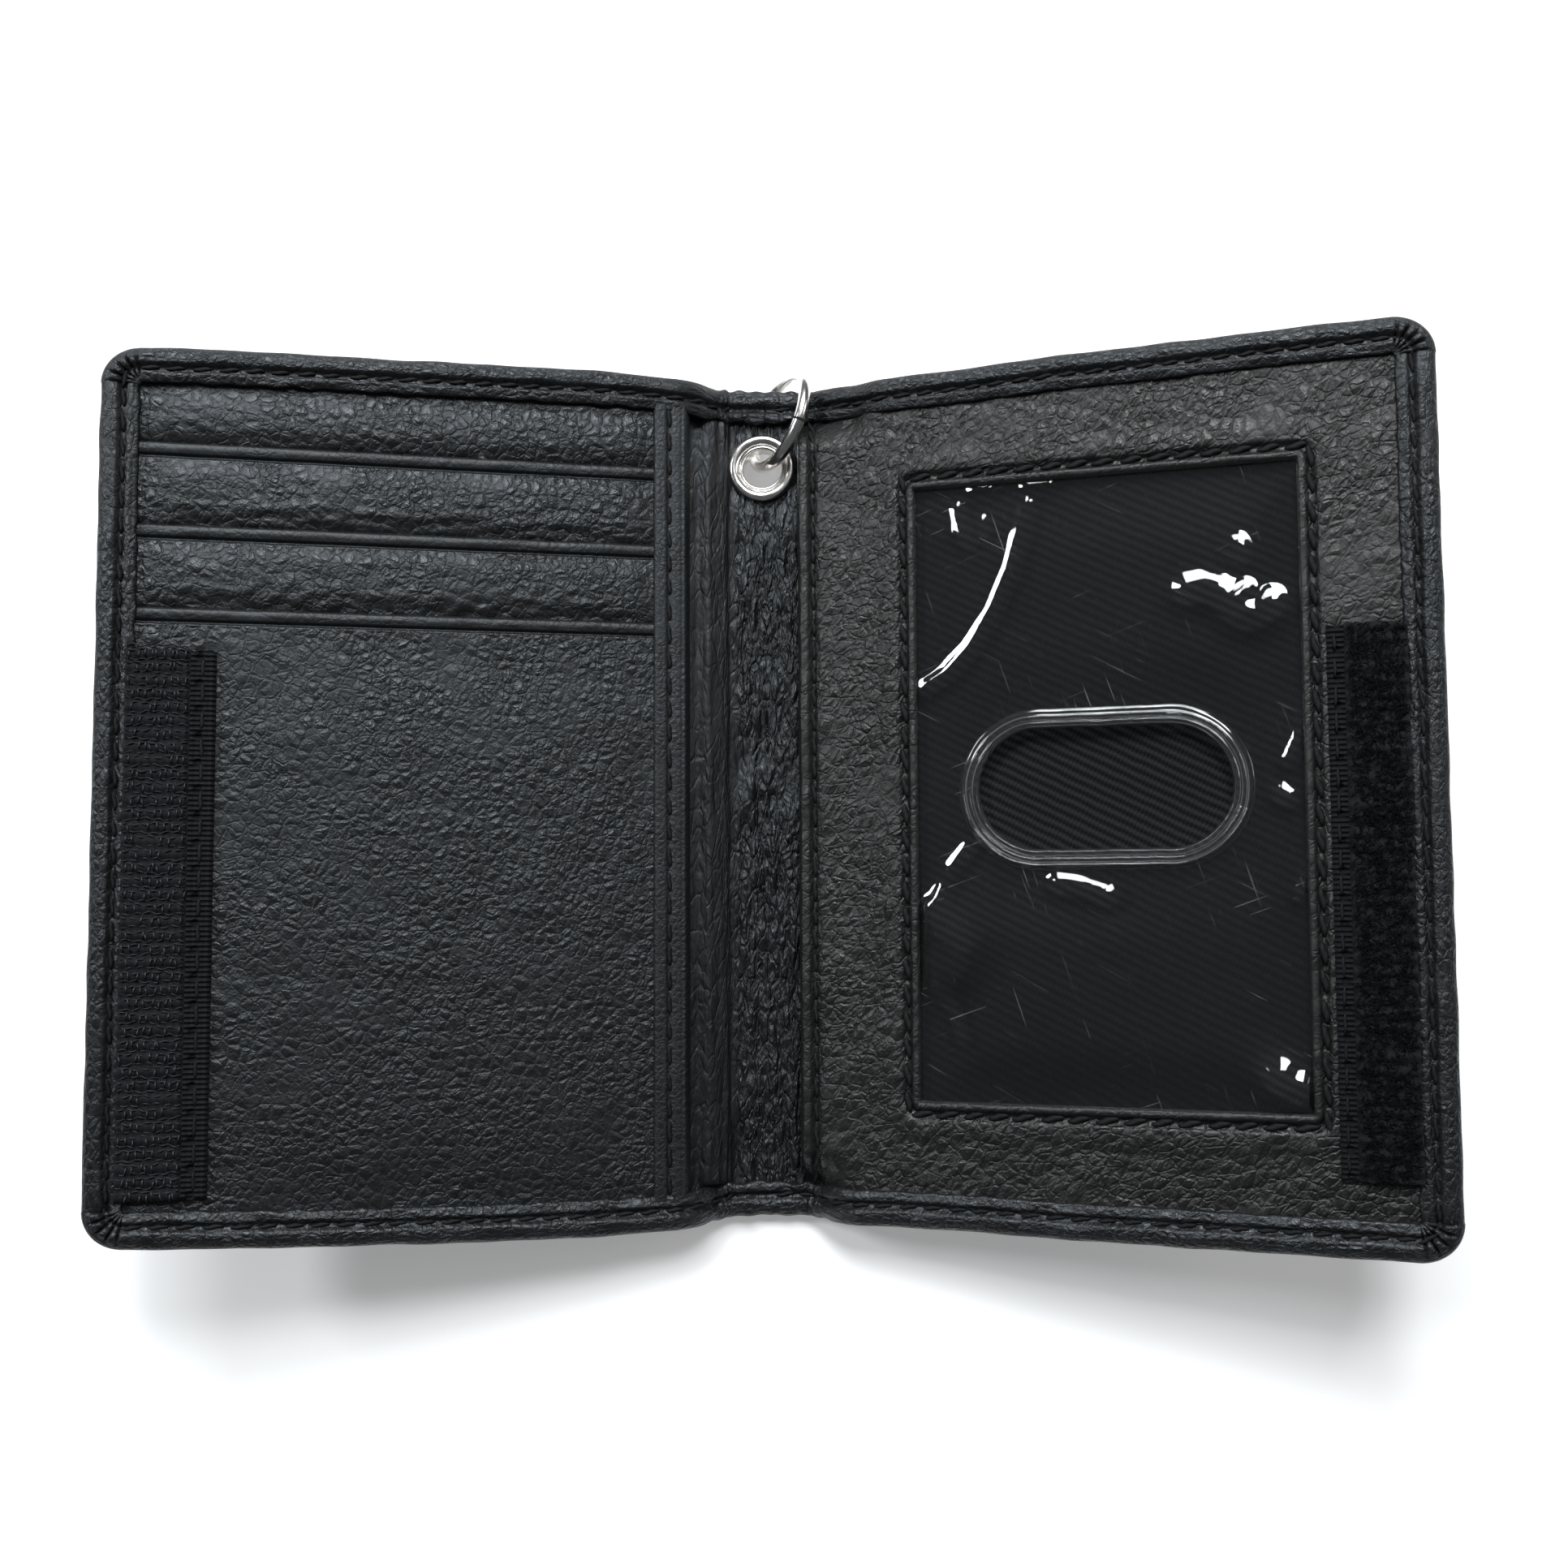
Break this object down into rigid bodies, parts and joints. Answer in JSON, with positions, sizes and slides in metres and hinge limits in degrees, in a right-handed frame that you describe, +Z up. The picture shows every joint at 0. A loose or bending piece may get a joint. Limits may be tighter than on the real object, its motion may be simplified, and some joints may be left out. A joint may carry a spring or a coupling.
{
  "type": "badge wallet",
  "caption": "Open leather badge wallet with card slots on one panel, a clear window on the other, hook and loop strips, and a jump ring through an eyelet in its wide soft spine.",
  "frame": {"origin": "under the middle of the open wallet's bounding box, on the surface that it rests on", "axes": "+X across the two panels towards the one with the window, +Y along the spine towards the eyelet, +Z up"},
  "size_m": [0.1662, 0.1176, 0.0331],
  "materials": {
    "cover_leather": "black pebbled leather, satin",
    "inside_leather": "black pebbled leather, satin, thinner",
    "lining_cloth": "black twill lining, matte",
    "board": "grey fibre board, hidden",
    "clear_vinyl": "clear glossy vinyl sheet",
    "hook_tape": "black woven hook tape",
    "loop_tape": "black napped loop tape, very matte",
    "thread": "black bonded sewing thread",
    "nickel": "polished nickel plate"
  },
  "bodies": {
    "spine": {"cover_spine": "cover_leather", "spine_lining": "inside_leather", "window_leather_edge": "inside_leather", "thread_window_edge": "thread", "thread_spine_bottom": "thread", "thread_spine_top": "thread", "eyelet_barrel": "nickel", "eyelet_washer": "nickel"},
    "left_panel": {"cover_left": "cover_leather", "stiffener_left": "board", "card_backing": "inside_leather", "card_pocket_lining": "lining_cloth", "card_pocket_top": "inside_leather", "card_pocket_middle": "inside_leather", "card_pocket_front": "inside_leather", "left_edge_binding": "inside_leather", "thread_binding": "thread", "hook_strip": "hook_tape", "thread_hook_strip": "thread", "thread_left_hem": "thread"},
    "right_panel": {"cover_right": "cover_leather", "stiffener_right": "board", "window_lining": "lining_cloth", "clear_window": "clear_vinyl", "window_frame": "inside_leather", "loop_strip": "loop_tape", "thread_loop_strip": "thread", "thread_window": "thread", "thread_right_hem": "thread"},
    "ring": {"jump_ring": "nickel"}
  },
  "joints": [
    {"name": "left_fold", "type": "hinge", "parent": "spine", "child": "left_panel", "pos_m": [-0.0095, -0.00053, 0.00628], "axis": [0, 0.9987, 0.0505], "range_deg": [-15.2, 78.1]},
    {"name": "right_fold", "type": "hinge", "parent": "spine", "child": "right_panel", "pos_m": [0.0095, -0.00053, 0.00628], "axis": [0, -0.9987, -0.0505], "range_deg": [-15.2, 78.1]},
    {"name": "ring_swing", "type": "hinge", "parent": "spine", "child": "ring", "pos_m": [0.0018, 0.05144, 0.00663], "axis": [-0.304, -0.9514, -0.0481], "range_deg": [0, 62]}
  ]
}
